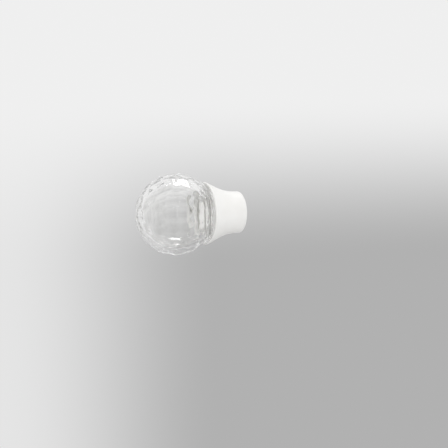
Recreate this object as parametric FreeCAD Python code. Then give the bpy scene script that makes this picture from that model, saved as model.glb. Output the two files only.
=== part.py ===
"""Curtain pole finial: a hollow faceted glass ball in a white metal bell collar that slips over the end of a pole.

Sizes are in mm. X runs along the pole, out of the socket, and Z is up.
The origin is the centre of the socket's floor, where the end of the pole stops.
"""
import FreeCAD
import Part
import math
import os

# Pole, and the socket it goes into
POLE_DIAMETER = 25.4
POLE_CLEARANCE = 0.3
SOCKET_DEPTH = 20.5
MOUTH_WALL = 2.4
MOUTH_ROUND = 1.7
MOUTH_CHAMFER = 0.4

# Bell collar
COLLAR_LENGTH = 28.7
RIM_DIAMETER = 45.7
LIP_WIDTH = 1.6
LIP_ROUND = 0.9
FLANK_SHARE = 0.656
BARREL_LENGTH = 3.4
WEB = 2.3

# Glass ball and its neck
BALL_DIAMETER = 60.6
GLASS_WALL = 6.0
NECK_DIAMETER = 35.0
NECK_WALL = 3.0
NECK_ROUND = 1.5
GLASS_GAP = 0.3

# Facets of the ball, in rings about its tip; each spreads far enough from its middle to meet its neighbours' corners
FACET_RINGS = 6
FACET_PITCH = 20.0
FACET_SPREAD = 0.73 * FACET_PITCH

# Grub screw under the collar, M4 by 3 with a hexagon socket
SCREW_DIAMETER = 4.0
SCREW_LENGTH = 3.0
SCREW_FROM_MOUTH = 12.0
SCREW_BACKED_OFF = 0.1
THREAD_CLEARANCE = 0.05
SCREW_CHAMFER = 0.35
HEX_ACROSS_FLATS = 2.0
HEX_DEPTH = 1.6
CUP_POINT_DIAMETER = 2.0
CUP_POINT_DEPTH = 0.5

# Radii, and stations along the pole, that follow from the sizes above
SOCKET_RADIUS = POLE_DIAMETER / 2 + POLE_CLEARANCE
BARREL_RADIUS = SOCKET_RADIUS + MOUTH_WALL
RIM_RADIUS = RIM_DIAMETER / 2
BALL_RADIUS = BALL_DIAMETER / 2
CAVITY_RADIUS = BALL_RADIUS - GLASS_WALL
NECK_RADIUS = NECK_DIAMETER / 2
SEAT_RADIUS = BALL_RADIUS + GLASS_GAP
LIP_ANGLE = math.degrees(math.asin((RIM_RADIUS - LIP_WIDTH) / SEAT_RADIUS))
RIM_X = SOCKET_DEPTH - COLLAR_LENGTH
BALL_X = RIM_X - SEAT_RADIUS * math.cos(math.radians(LIP_ANGLE))
SCREW_X = SOCKET_DEPTH - SCREW_FROM_MOUTH

X_AXIS = FreeCAD.Vector(1, 0, 0)
DOWN = FreeCAD.Vector(0, 0, -1)


def line(a, b):
    return Part.makeLine(FreeCAD.Vector(a[0], 0, a[1]), FreeCAD.Vector(b[0], 0, b[1]))


def on_circle(centre, radius, degrees):
    """A profile point, as x and radius, at an angle from the X axis about a centre."""
    angle = math.radians(degrees)
    return centre[0] + radius * math.cos(angle), centre[1] + radius * math.sin(angle)


def arc(centre, radius, start, end):
    """An arc of the profile about a centre, from one angle to another in degrees."""
    points = [on_circle(centre, radius, a) for a in (start, (start + end) / 2, end)]
    return Part.Arc(*[FreeCAD.Vector(x, 0, r) for x, r in points]).toShape()


def turned(edges):
    """The solid that a closed profile sweeps as it turns about the pole's axis."""
    profile = Part.Face(Part.Wire(edges))
    return profile.revolve(FreeCAD.Vector(0, 0, 0), X_AXIS, 360)


def neck_blend(sphere_radius, neck_radius):
    """Centre of the round that joins a sphere about the ball's centre to a neck, and its bearing from there."""
    r = neck_radius + NECK_ROUND
    run = math.sqrt((sphere_radius + NECK_ROUND) ** 2 - r ** 2)
    return (BALL_X + run, r), math.degrees(math.atan2(r, run))


# The blank of the ball: a thick sphere that runs into a plain neck, ground flat where it meets the collar's web
def glass_blank():
    middle = (BALL_X, 0)
    neck_end = -WEB
    bore = NECK_RADIUS - NECK_WALL
    outer, outer_bearing = neck_blend(BALL_RADIUS, NECK_RADIUS)
    inner, inner_bearing = neck_blend(CAVITY_RADIUS, bore)
    return turned([
        arc(middle, BALL_RADIUS, 180, outer_bearing),
        arc(outer, NECK_ROUND, 180 + outer_bearing, 270),
        line((outer[0], NECK_RADIUS), (neck_end, NECK_RADIUS)),
        line((neck_end, NECK_RADIUS), (neck_end, bore)),
        line((neck_end, bore), (inner[0], bore)),
        arc(inner, NECK_ROUND, 270, 180 + inner_bearing),
        arc(middle, CAVITY_RADIUS, inner_bearing, 180),
        line((BALL_X - CAVITY_RADIUS, 0), (BALL_X - BALL_RADIUS, 0)),
    ])


def facet_directions():
    """The way each facet faces: one at the tip, then rings that step half a facet from one to the next."""
    directions = [-X_AXIS]
    for ring in range(1, FACET_RINGS + 1):
        tilt = math.radians(ring * FACET_PITCH)
        count = round(360 * math.sin(tilt) / FACET_PITCH)
        for step in range(count):
            turn = 2 * math.pi * (step + 0.5 * (ring % 2)) / count
            y = math.sin(tilt) * math.sin(turn)
            z = math.sin(tilt) * math.cos(turn)
            directions.append(FreeCAD.Vector(-math.cos(tilt), y, z))
    return directions


# The ball: every facet is a flat cut through the blank, so that neighbours meet in a straight edge
def faceted_ball():
    ball = glass_blank()
    flat, reach = on_circle((0, 0), BALL_RADIUS, FACET_SPREAD)
    for direction in facet_directions():
        base = FreeCAD.Vector(BALL_X, 0, 0) + direction * flat
        ball = ball.cut(Part.makeCylinder(1.1 * reach, reach, base, direction))
    return ball


# The collar: a rounded lip, a straight flank that sweeps in to a barrel, the glass seat, the web and the pole's socket
def collar():
    lip = (RIM_X + LIP_ROUND, RIM_RADIUS - LIP_ROUND)
    mouth = (SOCKET_DEPTH - MOUTH_ROUND, BARREL_RADIUS - MOUTH_ROUND)
    barrel_x = SOCKET_DEPTH - BARREL_LENGTH

    # The flank leaves the lip's round and heads for a corner on the barrel that the sweep then rounds off
    flank_run = FLANK_SHARE * (barrel_x - lip[0])
    flank_fall = lip[1] - BARREL_RADIUS
    corner = (lip[0] + flank_run, BARREL_RADIUS)
    lip_lift = math.asin(LIP_ROUND / math.hypot(flank_run, flank_fall))
    slope = math.degrees(math.atan2(flank_fall, flank_run) + lip_lift)
    tangent = barrel_x - corner[0]
    sweep_radius = tangent / math.tan(math.radians(slope / 2))
    sweep = (barrel_x, BARREL_RADIUS + sweep_radius)

    chamfer_x = SOCKET_DEPTH - MOUTH_CHAMFER
    chamfer_r = SOCKET_RADIUS + MOUTH_CHAMFER
    neck_seat = NECK_RADIUS + GLASS_GAP
    neck_angle = math.degrees(math.asin(neck_seat / SEAT_RADIUS))
    ball = (BALL_X, 0)
    body = turned([
        arc(lip, LIP_ROUND, 180, 90 - slope),
        line(on_circle(lip, LIP_ROUND, 90 - slope), on_circle(corner, tangent, 180 - slope)),
        arc(sweep, sweep_radius, 270 - slope, 270),
        line((barrel_x, BARREL_RADIUS), (mouth[0], BARREL_RADIUS)),
        arc(mouth, MOUTH_ROUND, 90, 0),
        line((SOCKET_DEPTH, mouth[1]), (SOCKET_DEPTH, chamfer_r)),
        line((SOCKET_DEPTH, chamfer_r), (chamfer_x, SOCKET_RADIUS)),
        line((chamfer_x, SOCKET_RADIUS), (0, SOCKET_RADIUS)),
        line((0, SOCKET_RADIUS), (0, 0)),
        line((0, 0), (-WEB, 0)),
        line((-WEB, 0), (-WEB, neck_seat)),
        line((-WEB, neck_seat), on_circle(ball, SEAT_RADIUS, neck_angle)),
        arc(ball, SEAT_RADIUS, neck_angle, LIP_ANGLE),
        line(on_circle(ball, SEAT_RADIUS, LIP_ANGLE), (RIM_X, lip[1])),
    ])
    tapped = Part.makeCylinder(SCREW_DIAMETER / 2, RIM_RADIUS, FreeCAD.Vector(SCREW_X, 0, 0), DOWN)
    return body.cut(tapped)


# The grub screw: cup point at the bore, hexagon socket at the underside, backed off clear of the pole
def grub_screw():
    tip_z = -(SOCKET_RADIUS + SCREW_BACKED_OFF)
    radius = SCREW_DIAMETER / 2 - THREAD_CLEARANCE
    profile = [
        (0, CUP_POINT_DEPTH),
        (CUP_POINT_DIAMETER / 2, 0),
        (radius - SCREW_CHAMFER, 0),
        (radius, SCREW_CHAMFER),
        (radius, SCREW_LENGTH - SCREW_CHAMFER),
        (radius - SCREW_CHAMFER, SCREW_LENGTH),
        (0, SCREW_LENGTH),
    ]
    points = [FreeCAD.Vector(SCREW_X + r, 0, tip_z - depth) for r, depth in profile]
    outline = Part.Face(Part.makePolygon(points + points[:1]))
    blank = outline.revolve(FreeCAD.Vector(SCREW_X, 0, 0), DOWN, 360)

    corner = HEX_ACROSS_FLATS / math.sqrt(3)
    head_z = tip_z - SCREW_LENGTH
    corners = []
    for step in range(7):
        angle = math.radians(60 * step)
        corners.append(FreeCAD.Vector(SCREW_X + corner * math.cos(angle), corner * math.sin(angle), head_z))
    socket = Part.Face(Part.makePolygon(corners)).extrude(DOWN * -HEX_DEPTH)
    return blank.cut(socket)


os.makedirs("parts", exist_ok=True)
faceted_ball().exportStep("parts/faceted_ball.step")
collar().exportStep("parts/collar.step")
grub_screw().exportStep("parts/grub_screw.step")
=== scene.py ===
import bmesh
import bpy
import math
from mathutils import Matrix, Vector


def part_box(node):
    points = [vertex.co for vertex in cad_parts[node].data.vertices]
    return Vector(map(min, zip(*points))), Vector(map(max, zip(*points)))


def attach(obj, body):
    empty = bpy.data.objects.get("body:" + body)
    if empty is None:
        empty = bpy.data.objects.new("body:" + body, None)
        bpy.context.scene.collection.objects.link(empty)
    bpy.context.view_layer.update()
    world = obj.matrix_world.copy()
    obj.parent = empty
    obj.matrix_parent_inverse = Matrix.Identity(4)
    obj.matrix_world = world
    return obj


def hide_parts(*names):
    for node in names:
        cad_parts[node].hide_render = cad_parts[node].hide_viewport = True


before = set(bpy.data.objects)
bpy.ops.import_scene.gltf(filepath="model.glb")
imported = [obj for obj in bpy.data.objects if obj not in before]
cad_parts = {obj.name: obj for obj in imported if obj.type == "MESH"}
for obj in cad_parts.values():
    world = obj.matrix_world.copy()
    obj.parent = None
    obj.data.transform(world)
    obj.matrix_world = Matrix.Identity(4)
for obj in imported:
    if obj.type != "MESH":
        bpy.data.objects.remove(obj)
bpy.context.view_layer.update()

# Collar: a bell of cast zinc, turned true at its lip and bored from the back to make its socket.
# It has a satin white coat with a faint orange peel. Little of the spray gets down the socket, so there
# the coat thins to a grey haze over bare metal. The seat of the glass neck is painted grey, partly for
# its bond and partly as painted shade deep in the seat.
COAT_WHITE = (0.890, 0.885, 0.868, 1)
COAT_CREAM = (0.868, 0.861, 0.840, 1)
COAT_MOTTLE_SCALE = 90
COAT_ROUGHNESS = (0.34, 0.46)
COAT_SPECULAR = 0.45
ORANGE_PEEL_SCALE = 1100
ORANGE_PEEL_HEIGHT = 0.000006
ZINC_LIGHT = (0.62, 0.62, 0.63, 1)
ZINC_GREY = (0.54, 0.54, 0.55, 1)
TOOL_MARK_SCALE = 420
TOOL_MARK_WANDER = 1.5
BARE_METAL = 0.7
BARE_MOST = 0.85
HAZE_FROM_MOUTH = 0.002
BARE_FROM_MOUTH = 0.013
SOCKET_RADIUS = 0.0131
WEB_SPLIT = (-0.0012, -0.0008)
# Grey of the neck's seat: partly the bond, partly painted shade
BOND_AND_SHADE_GREY = (0.66, 0.65, 0.61, 1)
NECK_SEAT_ALONG = (-0.0055, -0.0021)
NECK_SEAT_RADII = (0.0143, 0.0180)
MASK_EDGE = 0.0001
MOTTLE_RANGE = (0.35, 0.65)
SMOOTH_DETAIL = 1

# Places of the colours among the sockets of a Mix node
COLOUR_A, COLOUR_B, COLOUR_MIXED = 6, 7, 2


def new_material(name):
    """A material with its shader, nodes and links."""
    material = bpy.data.materials.new(name)
    material.use_nodes = True
    nodes = material.node_tree.nodes
    return material, nodes["Principled BSDF"], nodes, material.node_tree.links


def stretched(nodes, links, value, start, end, low=0.0, high=1.0):
    """A value that goes from low to high while another goes from start to end."""
    ramp = nodes.new("ShaderNodeMapRange")
    for name, number in (("From Min", start), ("From Max", end), ("To Min", low), ("To Max", high)):
        if isinstance(number, (int, float)):
            ramp.inputs[name].default_value = number
        else:
            links.new(number, ramp.inputs[name])
    links.new(value, ramp.inputs["Value"])
    return ramp.outputs["Result"]


def combined(nodes, links, operation, values):
    """Some values taken together by one operation."""
    result = values[0]
    for value in values[1:]:
        pair = nodes.new("ShaderNodeMath")
        pair.operation = operation
        links.new(result, pair.inputs[0])
        links.new(value, pair.inputs[1])
        result = pair.outputs[0]
    return result


def between(nodes, links, value, low, high):
    """A mask of where a value lies between two others."""
    above = stretched(nodes, links, value, low - MASK_EDGE, low + MASK_EDGE)
    below = stretched(nodes, links, value, high + MASK_EDGE, high - MASK_EDGE)
    return combined(nodes, links, "MULTIPLY", (above, below))


def vector_step(nodes, links, operation, vector, other=(0, 0, 0)):
    """The outputs of one operation on a vector and a fixed one."""
    step = nodes.new("ShaderNodeVectorMath")
    step.operation = operation
    step.inputs[1].default_value = other
    links.new(vector, step.inputs[0])
    return step.outputs


def mixed(nodes, links, amount, first, second):
    """The mix of two colours, each given as numbers or as another node's output."""
    mix = nodes.new("ShaderNodeMix")
    mix.data_type = "RGBA"
    links.new(amount, mix.inputs["Factor"])
    for socket, colour in ((COLOUR_A, first), (COLOUR_B, second)):
        if isinstance(colour, tuple):
            mix.inputs[socket].default_value = colour
        else:
            links.new(colour, mix.inputs[socket])
    return mix.outputs[COLOUR_MIXED]


# The finish that all three pieces share: two mottled colours, an uneven gloss and a fine ripple
finish = bpy.data.node_groups.new("uneven_finish", "ShaderNodeTree")
for label, kind in (
    ("Mottle Scale", "Float"), ("Colour", "Color"), ("Second Colour", "Color"), ("Roughness Low", "Float"),
    ("Roughness High", "Float"), ("Ripple Scale", "Float"), ("Ripple Height", "Float"),
):
    finish.interface.new_socket(label, in_out="INPUT", socket_type="NodeSocket" + kind)
for label, kind in (("Colour", "Color"), ("Roughness", "Float"), ("Normal", "Vector")):
    finish.interface.new_socket(label, in_out="OUTPUT", socket_type="NodeSocket" + kind)
nodes, links = finish.nodes, finish.links
given = nodes.new("NodeGroupInput").outputs
made = nodes.new("NodeGroupOutput").inputs
place = nodes.new("ShaderNodeTexCoord").outputs["Object"]
mottle = nodes.new("ShaderNodeTexNoise")
ripple = nodes.new("ShaderNodeTexNoise")
ripple.inputs["Detail"].default_value = SMOOTH_DETAIL
for texture, scale in ((mottle, "Mottle Scale"), (ripple, "Ripple Scale")):
    links.new(place, texture.inputs["Vector"])
    links.new(given[scale], texture.inputs["Scale"])
patches = stretched(nodes, links, mottle.outputs["Fac"], *MOTTLE_RANGE)
colour = mixed(nodes, links, patches, given["Colour"], given["Second Colour"])
gloss = stretched(nodes, links, patches, 0, 1, given["Roughness Low"], given["Roughness High"])
bump = nodes.new("ShaderNodeBump")
links.new(ripple.outputs["Fac"], bump.inputs["Height"])
links.new(given["Ripple Height"], bump.inputs["Distance"])
for label, result in (("Colour", colour), ("Roughness", gloss), ("Normal", bump.outputs["Normal"])):
    links.new(result, made[label])


def finished(nodes, links, shader, colours, mottle_scale, roughness, ripple_scale, ripple_height):
    """Puts the shared finish on a shader and returns its node."""
    skin = nodes.new("ShaderNodeGroup")
    skin.node_tree = finish
    skin.inputs["Colour"].default_value, skin.inputs["Second Colour"].default_value = colours
    skin.inputs["Mottle Scale"].default_value = mottle_scale
    skin.inputs["Roughness Low"].default_value, skin.inputs["Roughness High"].default_value = roughness
    skin.inputs["Ripple Scale"].default_value = ripple_scale
    skin.inputs["Ripple Height"].default_value = ripple_height
    for label, socket in (("Colour", "Base Color"), ("Roughness", "Roughness"), ("Normal", "Normal")):
        links.new(skin.outputs[label], shader.inputs[socket])
    return skin


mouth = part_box("collar")[1][0]
white_coat, shader, nodes, links = new_material("white_coat")
shader.inputs["Specular IOR Level"].default_value = COAT_SPECULAR
sprayed = finished(
    nodes, links, shader, (COAT_WHITE, COAT_CREAM), COAT_MOTTLE_SCALE, COAT_ROUGHNESS,
    ORANGE_PEEL_SCALE, ORANGE_PEEL_HEIGHT,
)
place = nodes.new("ShaderNodeTexCoord").outputs["Object"]
axes = nodes.new("ShaderNodeSeparateXYZ")
links.new(place, axes.inputs["Vector"])
along = axes.outputs["X"]
across = vector_step(nodes, links, "MULTIPLY", place, (0, 1, 1))["Vector"]
radius = vector_step(nodes, links, "LENGTH", across)["Value"]

# The coat with its seat painted grey, partly for the bond and partly as painted shade, and the bored zinc
# that shows through it down the socket
bond_and_shade = combined(nodes, links, "MULTIPLY", (
    between(nodes, links, along, *NECK_SEAT_ALONG),
    between(nodes, links, radius, *NECK_SEAT_RADII),
))
coat = mixed(nodes, links, bond_and_shade, sprayed.outputs["Colour"], BOND_AND_SHADE_GREY)
tool_marks = nodes.new("ShaderNodeTexWave")
tool_marks.wave_type = "RINGS"
tool_marks.rings_direction = "SPHERICAL"
tool_marks.inputs["Scale"].default_value = TOOL_MARK_SCALE
tool_marks.inputs["Distortion"].default_value = TOOL_MARK_WANDER
links.new(place, tool_marks.inputs["Vector"])
zinc = mixed(nodes, links, tool_marks.outputs["Fac"], ZINC_LIGHT, ZINC_GREY)
bare = combined(nodes, links, "MULTIPLY", (
    stretched(nodes, links, along, mouth - HAZE_FROM_MOUTH, mouth - BARE_FROM_MOUTH, 0, BARE_MOST),
    stretched(nodes, links, along, *WEB_SPLIT),
    stretched(nodes, links, radius, SOCKET_RADIUS + MASK_EDGE, SOCKET_RADIUS),
))
links.new(mixed(nodes, links, bare, coat, zinc), shader.inputs["Base Color"])
links.new(stretched(nodes, links, bare, 0, 1, 0, BARE_METAL), shader.inputs["Metallic"])
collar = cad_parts["collar"]
collar.data.materials.clear()
collar.data.materials.append(white_coat)

# Ball: clear soda-lime glass blown into a faceted mould, so it is hollow and its inside wavers a little.
# Its facets stand in staggered rings about the tip, with their edges softened by the flame.
# Its short neck is cut and ground flat, and is bonded into the collar.
BALL_RADIUS = 0.0303
CAVITY_RADIUS = 0.0243
NECK_RADIUS = 0.0175
NECK_BORE = 0.0145
NECK_ROUND = 0.0015
BOND_LINE = 0.0001
BALL_STEPS = 96
ROUND_STEPS = 4
FACET_RINGS = 6
FACET_PITCH = math.radians(20)
FACET_SPREAD = 0.73 * FACET_PITCH
EDGE_SOFTNESS = 0.0009
RIDGE_ANGLE = math.radians(3)
FLATNESS = 100
CUT_TOLERANCE = 1e-7
MERGE_DISTANCE = 1e-6
GLASS_CLEAR = (0.995, 0.995, 0.993, 1)
GLASS_TINT = (0.986, 0.986, 0.980, 1)
GLASS_MOTTLE_SCALE = 75
GLASS_ROUGHNESS = (0.0, 0.012)
GLASS_IOR = 1.5
GLASS_RIPPLE_SCALE = 75
GLASS_RIPPLE_HEIGHT = 0.000125
INSIDE_WAVER_SCALE = 160
INSIDE_WAVER_HEIGHT = 0.0003
INSIDE_SKIN = 0.001

ball_low, ball_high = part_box("faceted_ball")
facet_reach = BALL_RADIUS * math.cos(FACET_SPREAD)
ball_centre = Vector((ball_low[0] + facet_reach, 0, 0))
neck_end = ball_high[0] - BOND_LINE


def drawn_on(bm, vertex, x, z):
    """Draws a profile on from its last vertex to a place in the upright plane."""
    drawn = bmesh.ops.extrude_vert_indiv(bm, verts=[vertex])["verts"][0]
    drawn.co = (x, 0, z)
    return drawn


def swung_on(bm, vertex, angle, steps):
    """Swings a profile on from its last vertex in an arc about the ball's centre."""
    swung = bmesh.ops.spin(
        bm, geom=[vertex], cent=ball_centre, axis=(0, 1, 0), angle=angle, steps=steps, use_merge=False
    )
    return [piece for piece in swung["geom_last"] if isinstance(piece, bmesh.types.BMVert)][0]


def cut_off(bm, place, facing):
    """Cuts off what lies beyond a plane and returns the edges of the cut."""
    cut = bmesh.ops.bisect_plane(
        bm, geom=bm.verts[:] + bm.edges[:] + bm.faces[:], dist=CUT_TOLERANCE,
        plane_co=place, plane_no=facing, clear_outer=True,
    )
    return [piece for piece in cut["geom_cut"] if isinstance(piece, bmesh.types.BMEdge)]


def placed(name, bm, node):
    """Makes the piece that stands in for a node of the solid model."""
    mesh = bpy.data.meshes.new(name)
    bm.to_mesh(mesh)
    bm.free()
    piece = bpy.data.objects.new(name, mesh)
    bpy.context.collection.objects.link(piece)
    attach(piece, "root")
    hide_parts(node)
    return piece


# The blank is turned from its profile: out from the tip, round to the neck, and back along the inside
bm = bmesh.new()
outer_bearing = math.asin(NECK_RADIUS / BALL_RADIUS)
inner_bearing = math.asin(NECK_BORE / CAVITY_RADIUS)
tip = bm.verts.new(ball_centre + Vector((-BALL_RADIUS, 0, 0)))
shoulder = swung_on(bm, tip, math.pi - outer_bearing, BALL_STEPS // 2)
foot = drawn_on(bm, shoulder, neck_end, NECK_RADIUS)
foot = drawn_on(bm, foot, neck_end, NECK_BORE)
throat = drawn_on(bm, foot, ball_centre.x + CAVITY_RADIUS * math.cos(inner_bearing), NECK_BORE)
swung_on(bm, throat, inner_bearing - math.pi, BALL_STEPS // 2)
bmesh.ops.bevel(
    bm, geom=[shoulder, throat], offset=NECK_ROUND, offset_type="OFFSET", segments=ROUND_STEPS, profile=0.5,
    affect="VERTICES", material=-1, clamp_overlap=False,
)
bmesh.ops.spin(
    bm, geom=bm.verts[:] + bm.edges[:], cent=ball_centre, axis=(1, 0, 0), angle=2 * math.pi,
    steps=BALL_STEPS, use_merge=True,
)
bmesh.ops.remove_doubles(bm, verts=bm.verts, dist=MERGE_DISTANCE)
bmesh.ops.recalc_face_normals(bm, faces=bm.faces)

# Each facet is a flat cut, marked by its material index until the ridges between facets are softened
for ring in range(FACET_RINGS + 1):
    tilt = ring * FACET_PITCH
    count = max(1, round(2 * math.pi * math.sin(tilt) / FACET_PITCH))
    for step in range(count):
        turn = 2 * math.pi * (step + 0.5 * (ring % 2)) / count
        facing = Vector((-math.cos(tilt), math.sin(tilt) * math.sin(turn), math.sin(tilt) * math.cos(turn)))
        rim = cut_off(bm, ball_centre + facet_reach * facing, facing)
        for facet in bmesh.ops.edgeloop_fill(bm, edges=rim)["faces"]:
            facet.material_index = 1
ridges = [
    edge for edge in bm.edges
    if all(face.material_index for face in edge.link_faces) and edge.calc_face_angle() > RIDGE_ANGLE
]
bmesh.ops.bevel(
    bm, geom=ridges, offset=EDGE_SOFTNESS, offset_type="OFFSET", segments=ROUND_STEPS, profile=0.5,
    affect="EDGES", material=-1, clamp_overlap=False,
)
for face in bm.faces:
    face.material_index = 0
    face.smooth = True
ball = placed("faceted_glass_ball", bm, "faceted_ball")
flat_facets = ball.modifiers.new("flat_facets", "WEIGHTED_NORMAL")
flat_facets.weight = FLATNESS

clear_glass, shader, nodes, links = new_material("clear_glass")
shader.inputs["IOR"].default_value = GLASS_IOR
shader.inputs["Transmission Weight"].default_value = 1
polished = finished(
    nodes, links, shader, (GLASS_CLEAR, GLASS_TINT), GLASS_MOTTLE_SCALE, GLASS_ROUGHNESS,
    GLASS_RIPPLE_SCALE, GLASS_RIPPLE_HEIGHT,
)
place = nodes.new("ShaderNodeTexCoord").outputs["Object"]
from_centre = vector_step(nodes, links, "DISTANCE", place, ball_centre)["Value"]
for label, inside, outside in (
    ("Ripple Scale", INSIDE_WAVER_SCALE, GLASS_RIPPLE_SCALE),
    ("Ripple Height", INSIDE_WAVER_HEIGHT, GLASS_RIPPLE_HEIGHT),
):
    waver = stretched(
        nodes, links, from_centre, CAVITY_RADIUS + INSIDE_SKIN, CAVITY_RADIUS + 2 * INSIDE_SKIN,
        inside, outside,
    )
    links.new(waver, polished.inputs[label])
ball.data.materials.append(clear_glass)

# Grub screw: a short M4 set screw of zinc-plated steel with a rolled thread, driven up into the collar
# from below by a hexagon key. Its cup point grips what is in the socket; here it is backed off,
# clear of the bore.
THREAD_PITCH = 0.0007
THREAD_DEPTH = 0.00043
THREAD_STEPS = 48
SPARE_TURNS = 2
END_TAPER = 0.85
CUP_RADIUS = 0.001
CUP_DEPTH = 0.0005
CUP_SIDES = 24
KEY_ACROSS_FLATS = 0.002
KEY_RADIUS = KEY_ACROSS_FLATS / math.sqrt(3)
KEY_DEPTH = 0.0016
KEY_SIDES = 6
SHARP_ANGLE = math.radians(30)
PLATED_BRIGHT = (0.62, 0.62, 0.61, 1)
PLATED_DULL = (0.45, 0.45, 0.46, 1)
PLATED_MOTTLE_SCALE = 1500
PLATED_ROUGHNESS = (0.24, 0.42)
PLATED_GRAIN_SCALE = 9000
PLATED_GRAIN_HEIGHT = 0.000003

# Corners of the thread's section, as shares of its pitch and of its depth
THREAD_SHARES = ((0.25, 0), (0.56, 1), (0.69, 1), (1.0, 0))

screw_low, screw_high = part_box("grub_screw")
screw_x = (screw_low[0] + screw_high[0]) / 2
thread_root = screw_high[0] - screw_x - THREAD_DEPTH
thread_turns = math.ceil((screw_high[2] - screw_low[2]) / THREAD_PITCH) + SPARE_TURNS


def corners(edges):
    """The vertices that some edges run between."""
    return list(dict.fromkeys(vertex for edge in edges for vertex in edge.verts))


def end_closed(bm, rim, z, inner_radius, sides):
    """Tapers an end of the screw, closes it down to a ring, and returns that ring's edges."""
    middle = Matrix.Translation((screw_x, 0, z))
    bmesh.ops.scale(bm, verts=corners(rim), vec=(END_TAPER, END_TAPER, 1), space=middle.inverted())
    ring = bmesh.ops.create_circle(bm, segments=sides, radius=inner_radius, matrix=middle)["verts"]
    ring_edges = list(dict.fromkeys(edge for vertex in ring for edge in vertex.link_edges))
    bmesh.ops.triangle_fill(bm, use_beauty=True, edges=rim + ring_edges)
    return ring_edges


def sunk(bm, ring, depth):
    """Sinks a ring into the end of the screw and returns the new ring's edges."""
    wall = bmesh.ops.extrude_edge_only(bm, edges=ring)["geom"]
    verts = [piece for piece in wall if isinstance(piece, bmesh.types.BMVert)]
    bmesh.ops.translate(bm, verts=verts, vec=(0, 0, depth))
    edges = [piece for piece in wall if isinstance(piece, bmesh.types.BMEdge)]
    return [edge for edge in edges if all(vertex in verts for vertex in edge.verts)]


bm = bmesh.new()
thread_top = screw_high[2] + THREAD_PITCH / 2
thread = bm.verts.new((screw_x + thread_root, 0, thread_top))
for turn in range(thread_turns):
    for share, rise in THREAD_SHARES:
        z = thread_top - (turn + share) * THREAD_PITCH
        thread = drawn_on(bm, thread, screw_x + thread_root + rise * THREAD_DEPTH, z)
bmesh.ops.spin(
    bm, geom=bm.verts[:] + bm.edges[:], cent=(screw_x, 0, 0), axis=(0, 0, 1), angle=2 * math.pi,
    dvec=(0, 0, THREAD_PITCH / THREAD_STEPS), steps=THREAD_STEPS, use_merge=False,
)
bmesh.ops.remove_doubles(bm, verts=bm.verts, dist=MERGE_DISTANCE)
point_rim = cut_off(bm, (screw_x, 0, screw_high[2]), (0, 0, 1))
head_rim = cut_off(bm, (screw_x, 0, screw_low[2]), (0, 0, -1))
cup = sunk(bm, end_closed(bm, point_rim, screw_high[2], CUP_RADIUS, CUP_SIDES), -CUP_DEPTH)
bmesh.ops.pointmerge(bm, verts=corners(cup), merge_co=(screw_x, 0, screw_high[2] - CUP_DEPTH))
key = sunk(bm, end_closed(bm, head_rim, screw_low[2], KEY_RADIUS, KEY_SIDES), KEY_DEPTH)
bmesh.ops.edgeloop_fill(bm, edges=key)
bmesh.ops.recalc_face_normals(bm, faces=bm.faces)
for face in bm.faces:
    face.smooth = True
screw = placed("threaded_grub_screw", bm, "grub_screw")
screw.data.set_sharp_from_angle(angle=SHARP_ANGLE)

plated_steel, shader, nodes, links = new_material("screw_steel")
shader.inputs["Metallic"].default_value = 1
finished(
    nodes, links, shader, (PLATED_BRIGHT, PLATED_DULL), PLATED_MOTTLE_SCALE, PLATED_ROUGHNESS,
    PLATED_GRAIN_SCALE, PLATED_GRAIN_HEIGHT,
)
screw.data.materials.append(plated_steel)

# Studio: a pale wall close behind, in soft shade low down on the right, and a plain pale floor well below.
# The room is pale all round, with a window on the left that lights the seat through the glass. A soft lamp
# above lights the collar. Patches of the room and a bright card, high behind, show only in reflections.
WALL_GAP = 0.12
WALL_TOP = 0.18
WALL_PALE = (0.865, 0.865, 0.865, 1)
WALL_SHADE = (0.44, 0.44, 0.44, 1)
WALL_SHADE_ACROSS = (-0.13, 0.06)
WALL_SHADE_LEAST = 0.2
WALL_SHADE_DOWN = (0.083, -0.055)
FLOOR_DROP = 0.75
FLOOR_PALE = (0.80, 0.80, 0.80, 1)
FLOOR_ROUGHNESS = 0.7
SHEET_SIZE = 2.0
CARD_SIZE = (0.13, 0.07)
CARD_GLOW_OUTSIDE = 1.5
CARD_GLOW_INSIDE = 12.0
CARD_TURN = math.radians(-32)
CARD_AT = (0.13, 0.22, 0.46)
ROOM_SCALE = 3.0
ROOM_SHIFT = (5, 0, 0)
ROOM_PATCH_RANGE = (0.42, 0.58)
ROOM_DARK = 0.3
ROOM_LIGHT = 1.5
ROOM_PLAIN = 0.85
ROOM_FILL = 1.05
WINDOW_WAY = Vector((-0.80, -0.50, 0.33)).normalized()
WINDOW_EDGE = (-0.1, 0.75)
WINDOW_BRIGHT = 2.7
TOP_LAMP_SIZE = (0.20, 0.14)
TOP_LAMP_POWER = 0.31
TOP_LAMP_AT = (0.24, 0.10, 0.58)


def stage_sheet(name, size, turn, place, material):
    """A flat sheet of the stage, turned about X; its size is half its width and half its depth."""
    bm = bmesh.new()
    bmesh.ops.create_grid(bm, x_segments=1, y_segments=1, size=1)
    bmesh.ops.scale(bm, verts=bm.verts, vec=(*size, 1))
    bmesh.ops.rotate(bm, verts=bm.verts, cent=(0, 0, 0), matrix=Matrix.Rotation(turn, 3, "X"))
    bmesh.ops.translate(bm, verts=bm.verts, vec=place)
    mesh = bpy.data.meshes.new(name)
    bm.to_mesh(mesh)
    bm.free()
    sheet = bpy.data.objects.new(name, mesh)
    bpy.context.collection.objects.link(sheet)
    sheet.data.materials.append(material)


def either_of(nodes, links, factor, first, second):
    """A shader that goes from one to another as a factor goes from 0 to 1."""
    mix = nodes.new("ShaderNodeMixShader")
    for socket, part in zip(mix.inputs, (factor, first, second)):
        links.new(part, socket)
    return mix.outputs["Shader"]


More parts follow.
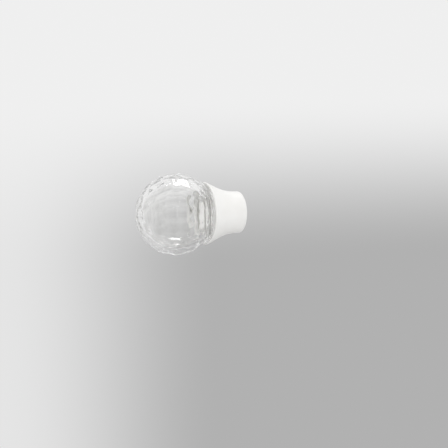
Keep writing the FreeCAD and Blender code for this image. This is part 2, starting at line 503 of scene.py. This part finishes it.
def one_sided(nodes, links, shown):
    """Puts a shader on the front of a stage sheet and lets its back be seen through."""
    back = nodes.new("ShaderNodeNewGeometry").outputs["Backfacing"]
    clear = nodes.new("ShaderNodeBsdfTransparent").outputs["BSDF"]
    links.new(either_of(nodes, links, back, shown, clear), nodes["Material Output"].inputs["Surface"])


def any_ray(nodes, links, path, kinds):
    """A mask of the rays that are of any of some kinds."""
    return combined(nodes, links, "MAXIMUM", [path[f"Is {kind} Ray"] for kind in kinds])


def chosen(nodes, links, factor, first, second):
    """One of two levels of light, each given as a number or as another node's output."""
    choice = nodes.new("ShaderNodeMix")
    links.new(factor, choice.inputs["Factor"])
    for name, level in (("A", first), ("B", second)):
        if isinstance(level, float):
            choice.inputs[name].default_value = level
        else:
            links.new(level, choice.inputs[name])
    return choice.outputs["Result"]


floor_paint, shader, nodes, links = new_material("floor_paint")
shader.inputs["Base Color"].default_value = FLOOR_PALE
shader.inputs["Roughness"].default_value = FLOOR_ROUGHNESS
one_sided(nodes, links, shader.outputs["BSDF"])
stage_sheet("floor", (SHEET_SIZE, SHEET_SIZE), 0, (0, 0, -FLOOR_DROP), floor_paint)

wall_paint, shader, nodes, links = new_material("wall_paint")
nodes.remove(shader)
axes = nodes.new("ShaderNodeSeparateXYZ")
links.new(nodes.new("ShaderNodeTexCoord").outputs["Object"], axes.inputs["Vector"])
across = stretched(nodes, links, axes.outputs["X"], *WALL_SHADE_ACROSS, WALL_SHADE_LEAST, 1)
down = stretched(nodes, links, axes.outputs["Z"], *WALL_SHADE_DOWN)
for ramp in (across.node, down.node):
    ramp.interpolation_type = "SMOOTHSTEP"
shade = combined(nodes, links, "MULTIPLY", (across, down))
tone = mixed(nodes, links, shade, WALL_PALE, WALL_SHADE)
lit = nodes.new("ShaderNodeBsdfDiffuse")
seen = nodes.new("ShaderNodeEmission")
for layer in (lit, seen):
    links.new(tone, layer.inputs["Color"])
path = nodes.new("ShaderNodeLightPath").outputs
plain = any_ray(nodes, links, path, ("Camera", "Transmission", "Glossy"))
one_sided(nodes, links, either_of(nodes, links, plain, lit.outputs["BSDF"], seen.outputs["Emission"]))
wall_place = (0, WALL_GAP, WALL_TOP - SHEET_SIZE)
stage_sheet("wall", (SHEET_SIZE, SHEET_SIZE), math.radians(90), wall_place, wall_paint)

# The card glows only in reflections, and more in those that are seen through the glass
bright_card, shader, nodes, links = new_material("bright_card")
nodes.remove(shader)
path = nodes.new("ShaderNodeLightPath").outputs
mirrored = combined(nodes, links, "MULTIPLY", (
    stretched(nodes, links, path["Glossy Depth"], 0, 1),
    stretched(nodes, links, path["Diffuse Depth"], 1, 0),
))
clear = nodes.new("ShaderNodeBsdfTransparent").outputs["BSDF"]
glow = nodes.new("ShaderNodeEmission")
strength = stretched(nodes, links, path["Transmission Depth"], 0, 1, CARD_GLOW_OUTSIDE, CARD_GLOW_INSIDE)
links.new(strength, glow.inputs["Strength"])
card_face = either_of(nodes, links, mirrored, clear, glow.outputs["Emission"])
links.new(card_face, nodes["Material Output"].inputs["Surface"])
bright_card.cycles.emission_sampling = "NONE"
stage_sheet("bright_card", CARD_SIZE, CARD_TURN, CARD_AT, bright_card)

# The room is plain where it is seen through the glass, patchy where it is mirrored, and even as light
scene = bpy.context.scene
scene.world = bpy.data.worlds.new("room")
scene.world.use_nodes = True
nodes, links = scene.world.node_tree.nodes, scene.world.node_tree.links
way = nodes.new("ShaderNodeTexCoord").outputs["Generated"]
shift = nodes.new("ShaderNodeMapping")
shift.inputs["Location"].default_value = ROOM_SHIFT
links.new(way, shift.inputs["Vector"])
patches = nodes.new("ShaderNodeTexNoise")
patches.inputs["Scale"].default_value = ROOM_SCALE
patches.inputs["Detail"].default_value = SMOOTH_DETAIL
links.new(shift.outputs["Vector"], patches.inputs["Vector"])
patchy = stretched(nodes, links, patches.outputs["Fac"], *ROOM_PATCH_RANGE, ROOM_DARK, ROOM_LIGHT)
towards = vector_step(nodes, links, "DOT_PRODUCT", way, WINDOW_WAY)["Value"]
window = stretched(nodes, links, towards, *WINDOW_EDGE, ROOM_FILL, WINDOW_BRIGHT)
window.node.interpolation_type = "SMOOTHSTEP"
path = nodes.new("ShaderNodeLightPath").outputs
scattered = stretched(nodes, links, path["Diffuse Depth"], 0, 1)
seen_through = chosen(nodes, links, scattered, ROOM_PLAIN, window)
seen_in_gloss = chosen(nodes, links, scattered, patchy, ROOM_FILL)
level = chosen(nodes, links, path["Is Glossy Ray"], ROOM_FILL, seen_in_gloss)
level = chosen(nodes, links, any_ray(nodes, links, path, ("Camera", "Transmission")), level, seen_through)
nodes["Background"].inputs["Color"].default_value = (1, 1, 1, 1)
links.new(level, nodes["Background"].inputs["Strength"])

light = bpy.data.lights.new("top_lamp", "AREA")
light.shape = "RECTANGLE"
light.size, light.size_y = TOP_LAMP_SIZE
light.energy = TOP_LAMP_POWER
lamp = bpy.data.objects.new("top_lamp", light)
bpy.context.collection.objects.link(lamp)
lamp.location = TOP_LAMP_AT
lamp.rotation_euler = (ball_centre - Vector(TOP_LAMP_AT)).to_track_quat("-Z", "Y").to_euler()
lamp.visible_camera = False
lamp.visible_transmission = False

# Camera: it stands in front of the wall, a little to the left of the ball and above it,
# far enough off for a flat view. Its frame is 448 pixels square.
FRAME_PIXELS = 448
BALL_AT = (175.8, 214.5)
METRES_PER_PIXEL = 0.000728
CAMERA_DISTANCE = 1.2
AZIMUTH = math.radians(-24.1)
ELEVATION = math.radians(5.5)
SENSOR_WIDTH = 36
NEAREST_SEEN = 0.01

outward = Vector((
    math.sin(AZIMUTH) * math.cos(ELEVATION), -math.cos(AZIMUTH) * math.cos(ELEVATION), math.sin(ELEVATION)
))
rightward = Vector((0, 0, 1)).cross(outward).normalized()
upward = outward.cross(rightward)
offset = (FRAME_PIXELS / 2 - BALL_AT[0]) * rightward - (FRAME_PIXELS / 2 - BALL_AT[1]) * upward
camera = bpy.data.objects.new("camera", bpy.data.cameras.new("camera"))
bpy.context.collection.objects.link(camera)
camera.location = ball_centre + METRES_PER_PIXEL * offset + CAMERA_DISTANCE * outward
camera.rotation_euler = (-outward).to_track_quat("-Z", "Y").to_euler()
camera.data.sensor_width = SENSOR_WIDTH
camera.data.lens = SENSOR_WIDTH * CAMERA_DISTANCE / (FRAME_PIXELS * METRES_PER_PIXEL)
camera.data.clip_start = NEAREST_SEEN
scene.camera = camera

# Light goes back and forth many times inside thick glass
GLASS_BOUNCES = 32
MATT_BOUNCES = 8
scene.cycles.max_bounces = GLASS_BOUNCES
scene.cycles.glossy_bounces = GLASS_BOUNCES
scene.cycles.transmission_bounces = GLASS_BOUNCES
scene.cycles.diffuse_bounces = MATT_BOUNCES
scene.view_settings.view_transform = "Standard"
